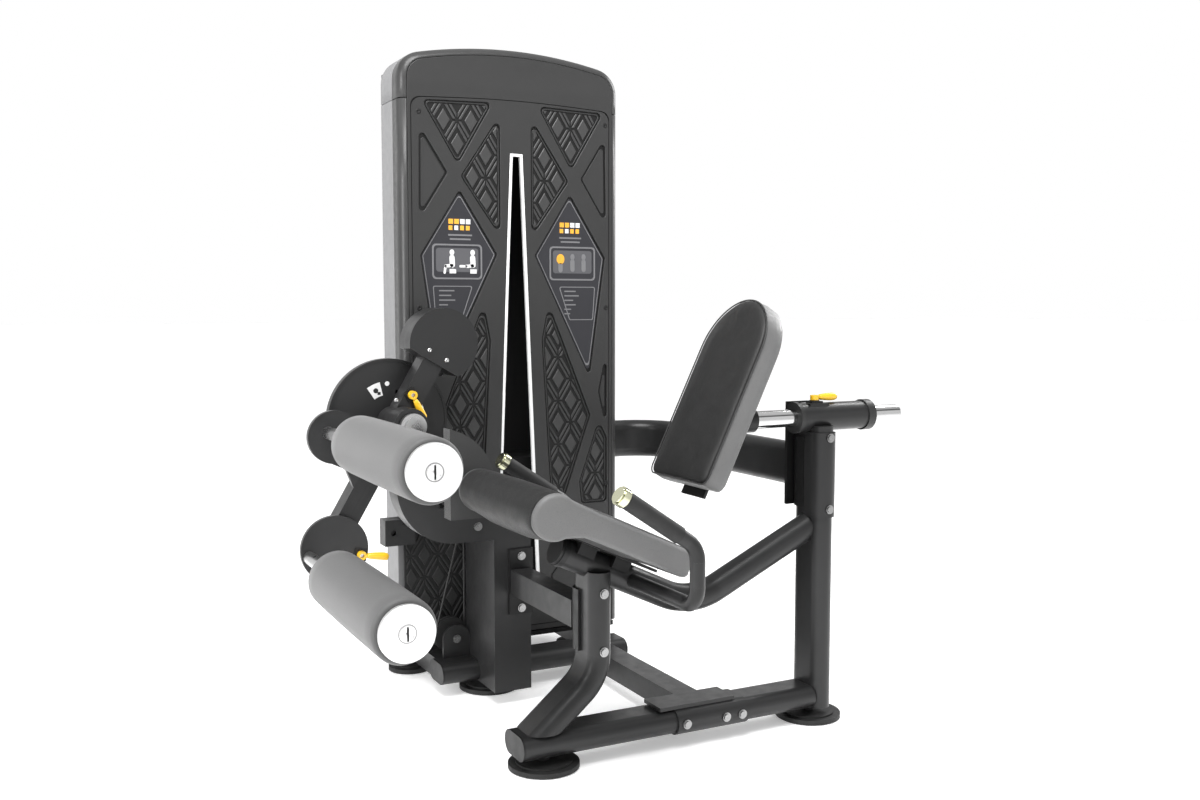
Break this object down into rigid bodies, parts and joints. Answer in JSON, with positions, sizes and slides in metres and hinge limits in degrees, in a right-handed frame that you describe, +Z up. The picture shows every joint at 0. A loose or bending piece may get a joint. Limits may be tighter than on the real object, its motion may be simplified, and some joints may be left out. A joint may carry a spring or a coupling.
{
  "type": "leg extension machine",
  "caption": "Seated leg extension gym machine with a shrouded weight tower, side lever, foam rollers, padded seat and sliding backrest.",
  "frame": {"origin": "centre of the bounding box on the floor", "axes": "+Z up, +X towards the back of the seat, +Y from the seat to the weight tower"},
  "size_m": [1.3309, 1.2019, 1.57],
  "materials": {
    "frame_paint": "satin",
    "black_paint": "satin",
    "column_paint": "satin",
    "shroud_plastic": "matt",
    "cover_paint": "satin",
    "trim_white": "gloss",
    "rubber": "matt",
    "nylon": "matt",
    "upholstery": "satin",
    "foam": "matt",
    "chrome": "polished",
    "steel": "brushed",
    "aluminium": "satin",
    "yellow": "gloss",
    "stack_iron": "matt"
  },
  "bodies": {
    "frame": {"carriage_sleeve": "frame_paint", "sleeve_bushes": "nylon", "seat_tube": "frame_paint", "end_caps": "black_paint", "saddle_plates": "black_paint", "joint_sleeves": "frame_paint", "seat_posts": "frame_paint", "base_beams": "frame_paint", "seat_plate": "black_paint", "seat_pad": "upholstery", "side_handles": "frame_paint", "handle_grips": "rubber", "handle_caps": "chrome", "leg_guard": "shroud_plastic", "cross_rails": "frame_paint", "tower_post": "frame_paint", "hook_bracket": "frame_paint", "rear_bearing": "frame_paint", "cross_tube": "frame_paint", "foot_discs": "rubber", "frame_bolts": "chrome", "tower_base": "frame_paint", "shroud_left": "shroud_plastic", "shroud_right": "shroud_plastic", "shroud_cap": "shroud_plastic", "slot_trim": "trim_white", "side_columns": "column_paint", "rear_cover": "cover_paint", "guide_rods": "chrome", "rest_stack": "stack_iron", "pulley_brackets": "frame_paint", "cable": "nylon"},
    "cam": {"axle": "steel", "range_disc": "frame_paint", "cam_wheel": "frame_paint"},
    "lever": {"arm_tube": "frame_paint", "index_plate": "black_paint", "lobe_plate": "frame_paint", "counterweight": "frame_paint", "upper_shaft": "steel", "upper_cap": "aluminium"},
    "upper_roller": {"upper_foam": "foam"},
    "crank": {"crank_disc": "frame_paint", "lower_shaft": "steel", "lower_cap": "aluminium"},
    "lower_roller": {"lower_foam": "foam"},
    "range_grip": {"range_lever": "yellow"},
    "range_plunger": {"range_pin": "steel"},
    "crank_grip": {"crank_lever": "yellow"},
    "crank_plunger": {"crank_pin": "steel"},
    "clamp_grip": {"clamp_lever": "yellow"},
    "clamp_plunger": {"clamp_pin": "steel"},
    "lifted_stack": {"lift_stack": "stack_iron"},
    "selector": {"selector_pin": "steel"},
    "lower_sheave": {"low_pulley": "nylon"},
    "idler_sheave": {"idler_pulley": "nylon"},
    "upper_sheave": {"top_pulley": "nylon"},
    "carriage": {"chrome_tube": "chrome", "back_bracket": "black_paint", "back_pad": "upholstery"}
  },
  "joints": [
    {"name": "leg_extension", "type": "hinge", "parent": "frame", "child": "cam", "pos_m": [-0.386, 0.3, 0.669], "axis": [0, 1, 0], "range_deg": [0, 75]},
    {"name": "start_position", "type": "hinge", "parent": "cam", "child": "lever", "pos_m": [-0.386, 0.19, 0.669], "axis": [0, 1, 0], "range_deg": [-30, 10]},
    {"name": "upper_roller_spin", "type": "hinge", "parent": "lever", "child": "upper_roller", "pos_m": [-0.55274, -0.307, 0.65553], "axis": [0, 1, 0], "continuous": true},
    {"name": "crank_swing", "type": "hinge", "parent": "lever", "child": "crank", "pos_m": [-0.54692, 0.15, 0.39472], "axis": [0, 1, 0], "range_deg": [0, 40]},
    {"name": "lower_roller_spin", "type": "hinge", "parent": "crank", "child": "lower_roller", "pos_m": [-0.60445, -0.307, 0.38164], "axis": [0, 1, 0], "continuous": true},
    {"name": "range_grip_turn", "type": "hinge", "parent": "lever", "child": "range_grip", "pos_m": [-0.35971, 0.155, 0.73357], "axis": [0, -1, 0], "range_deg": [0, 40]},
    {"name": "range_pin_pull", "type": "slide", "parent": "lever", "child": "range_plunger", "axis": [0, -1, 0], "range_m": [0, 0.0059]},
    {"name": "crank_grip_turn", "type": "hinge", "parent": "crank", "child": "crank_grip", "pos_m": [-0.48936, 0.14, 0.37778], "axis": [0, 1, 0], "range_deg": [0, 40]},
    {"name": "crank_pin_pull", "type": "slide", "parent": "crank", "child": "crank_plunger", "axis": [0, -1, 0], "range_m": [0, 0.0059]},
    {"name": "clamp_grip_turn", "type": "hinge", "parent": "frame", "child": "clamp_grip", "pos_m": [0.43, -0.304, 0.73], "axis": [0, 0, 1], "range_deg": [0, 40]},
    {"name": "clamp_pin_lift", "type": "slide", "parent": "frame", "child": "clamp_plunger", "axis": [0, 0, 1], "range_m": [0, 0.0059]},
    {"name": "stack_lift", "type": "slide", "parent": "frame", "child": "lifted_stack", "axis": [0, 0, 1], "range_m": [0, 0.16]},
    {"name": "selector_pull", "type": "slide", "parent": "lifted_stack", "child": "selector", "axis": [0, -1, 0], "range_m": [0, 0.03]},
    {"name": "lower_sheave_turn", "type": "hinge", "parent": "frame", "child": "lower_sheave", "pos_m": [-0.225, 0.292, 0.125], "axis": [0, 1, 0], "range_deg": [0, 235]},
    {"name": "idler_sheave_turn", "type": "hinge", "parent": "frame", "child": "idler_sheave", "pos_m": [-0.204, 0.292, 0.513], "axis": [0, 1, 0], "range_deg": [-235, 0]},
    {"name": "upper_sheave_turn", "type": "hinge", "parent": "frame", "child": "upper_sheave", "pos_m": [-0.077, 0.47, 1.43], "axis": [0, 1, 0], "range_deg": [-207, 0]},
    {"name": "backrest_slide", "type": "slide", "parent": "frame", "child": "carriage", "axis": [1, 0, 0], "range_m": [-0.07, 0.1]}
  ],
  "couplings": [
    {"joint": "stack_lift", "follows": "leg_extension", "m_per_rad": 0.118},
    {"joint": "lower_sheave_turn", "follows": "leg_extension", "ratio": 3.1053},
    {"joint": "idler_sheave_turn", "follows": "leg_extension", "ratio": -3.1053},
    {"joint": "upper_sheave_turn", "follows": "leg_extension", "ratio": -2.7442},
    {"joint": "range_grip_turn", "follows": "range_pin_pull", "rad_per_m": 118.33},
    {"joint": "crank_grip_turn", "follows": "crank_pin_pull", "rad_per_m": 118.33},
    {"joint": "clamp_grip_turn", "follows": "clamp_pin_lift", "rad_per_m": 118.33}
  ]
}
